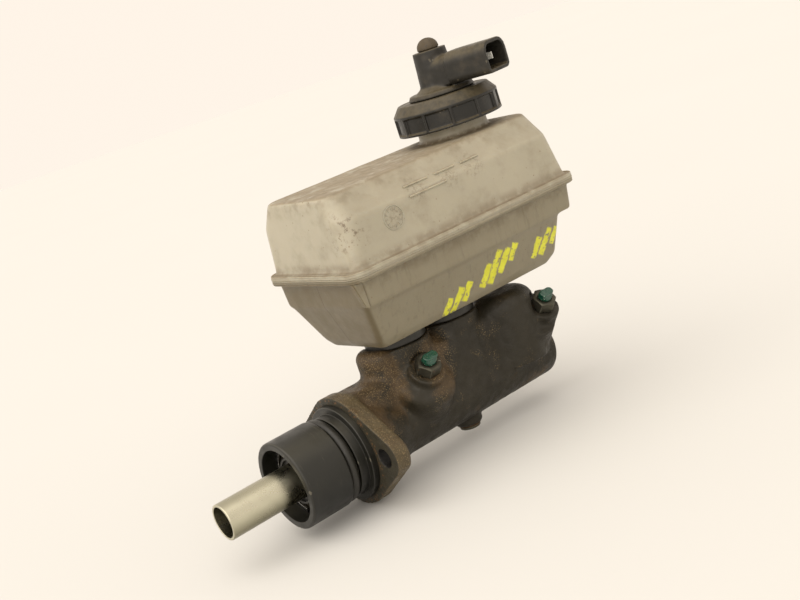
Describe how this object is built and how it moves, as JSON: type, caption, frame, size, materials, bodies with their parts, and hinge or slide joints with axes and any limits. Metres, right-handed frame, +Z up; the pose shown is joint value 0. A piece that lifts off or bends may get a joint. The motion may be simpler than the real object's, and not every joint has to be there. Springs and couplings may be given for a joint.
{
  "type": "tandem brake master cylinder",
  "caption": "Tandem brake master cylinder with servo flange and guide sleeve, hollow push tube, plastic fluid reservoir, ribbed screw cap with level sensor, and two pipe union nuts.",
  "frame": {"origin": "on the bore axis, in the servo-side face of the mounting flange", "axes": "+X along the bore towards the closed end, +Z up to the filler cap, -Y the side of the pipe outlets"},
  "size_m": [0.2173, 0.079, 0.1894],
  "materials": {
    "cast_iron_body": "rough sand-cast, rusty",
    "black_sleeve": "satin",
    "push_tube_steel": "satin",
    "steel": "machined",
    "piston_aluminium": "machined",
    "spring_steel": "drawn wire",
    "rubber": "matt",
    "bush_plastic": "matt",
    "reservoir_plastic": "translucent off-white, dusty",
    "cap_plastic": "dusty black",
    "terminal_brass": "bright",
    "pipe_green": "glossy coating",
    "nut_steel": "dark zinc, worn edges",
    "copper_washer": "dull, tarnished copper",
    "float_foam": "closed-cell foam"
  },
  "bodies": {
    "housing": {"cylinder_body": "cast_iron_body", "guide_sleeve": "black_sleeve", "servo_o_ring": "rubber", "guide_bush": "bush_plastic", "rod_seal": "rubber", "sleeve_circlip": "spring_steel", "retainer_washer": "steel", "piston_stop_washer": "steel", "secondary_spring": "spring_steel", "stop_screw": "nut_steel", "stop_screw_washer": "copper_washer", "reservoir_lower": "reservoir_plastic", "reservoir_upper": "reservoir_plastic", "union_nut_front": "nut_steel", "union_nut_rear": "nut_steel", "brake_pipe_front": "pipe_green", "brake_pipe_rear": "pipe_green", "inlet_grommet_front": "rubber", "inlet_grommet_rear": "rubber"},
    "primary_piston_unit": {"primary_piston": "push_tube_steel", "primary_rear_seal": "rubber", "primary_cup": "rubber"},
    "secondary_piston_unit": {"secondary_piston": "piston_aluminium", "secondary_rear_cup": "rubber", "secondary_front_cup": "rubber", "primary_spring": "spring_steel"},
    "sensor_unit": {"sensor_body": "cap_plastic", "connector_pins": "terminal_brass", "float_rod": "bush_plastic", "cap_gasket": "rubber"},
    "cap_ring_unit": {"cap_ring": "cap_plastic"},
    "test_button": {"test_dome": "rubber"},
    "float_unit": {"level_float": "float_foam"}
  },
  "joints": [
    {"name": "primary_piston_slide", "type": "slide", "parent": "housing", "child": "primary_piston_unit", "axis": [1, 0, 0], "range_m": [0, 0.02], "stiffness_N_per_m": 1500, "springref_m": -0.01},
    {"name": "secondary_piston_slide", "type": "slide", "parent": "housing", "child": "secondary_piston_unit", "axis": [1, 0, 0], "range_m": [0, 0.01], "stiffness_N_per_m": 1500, "springref_m": -0.01, "deforming": ["secondary_spring", "primary_spring"]},
    {"name": "cap_lift", "type": "slide", "parent": "housing", "child": "sensor_unit", "axis": [0, 0, 1], "range_m": [0, 0.008]},
    {"name": "cap_turn", "type": "hinge", "parent": "sensor_unit", "child": "cap_ring_unit", "pos_m": [0.114, 0, 0.128], "axis": [0, 0, 1], "range_deg": [0, 720]},
    {"name": "test_button_press", "type": "slide", "parent": "sensor_unit", "child": "test_button", "axis": [0, 0, -1], "range_m": [0, 0.0018], "stiffness_N_per_m": 1200, "springref_m": -0.001},
    {"name": "float_slide", "type": "slide", "parent": "sensor_unit", "child": "float_unit", "axis": [0, 0, 1], "range_m": [0, 0.018]}
  ],
  "couplings": [
    {"joint": "secondary_piston_slide", "follows": "primary_piston_slide", "ratio": 0.5},
    {"joint": "cap_turn", "follows": "cap_lift", "rad_per_m": 1570.8}
  ]
}
